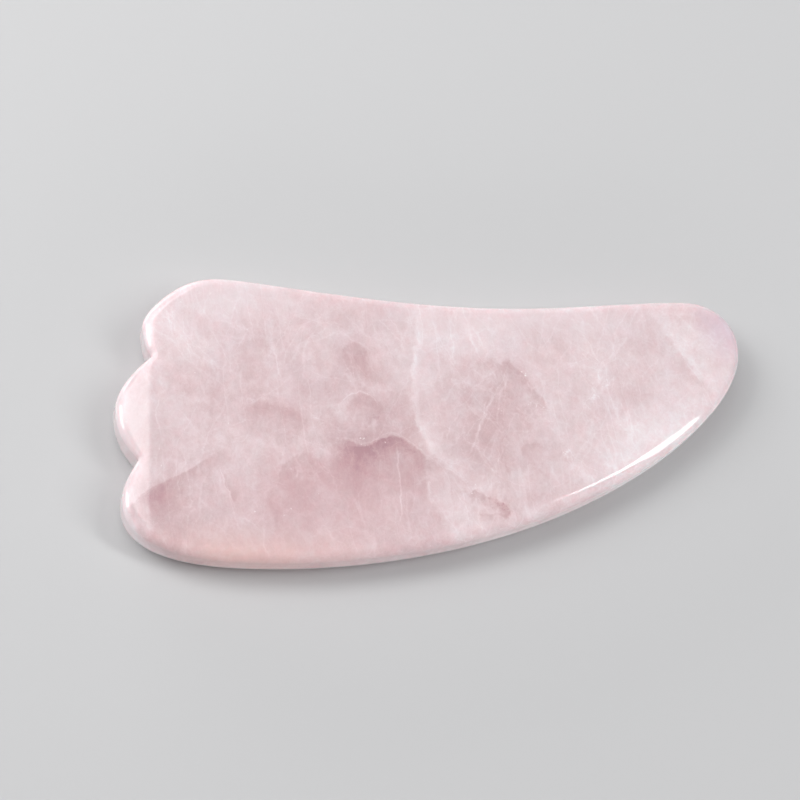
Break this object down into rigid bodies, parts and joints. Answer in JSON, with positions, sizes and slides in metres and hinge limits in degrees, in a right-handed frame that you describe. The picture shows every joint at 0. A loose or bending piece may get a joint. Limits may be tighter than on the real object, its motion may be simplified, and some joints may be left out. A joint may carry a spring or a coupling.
{
  "type": "gua sha scraper",
  "caption": "Flat hand-held massage board of polished rose quartz, with a scalloped end, a hollow spine, a convex belly and a rounded tip.",
  "frame": {"origin": "on the underside, below the middle of the board's bounding box", "axes": "+X from the scalloped end to the rounded tip, +Y from the convex belly to the hollow spine, +Z the board's normal, up as it lies on a table"},
  "size_m": [0.105, 0.0478, 0.0065],
  "materials": {
    "rose_quartz": "polished, slightly translucent, cloudy pale pink with darker mauve veils"
  },
  "bodies": {
    "root": {"scraper_board": "rose_quartz"}
  },
  "joints": []
}
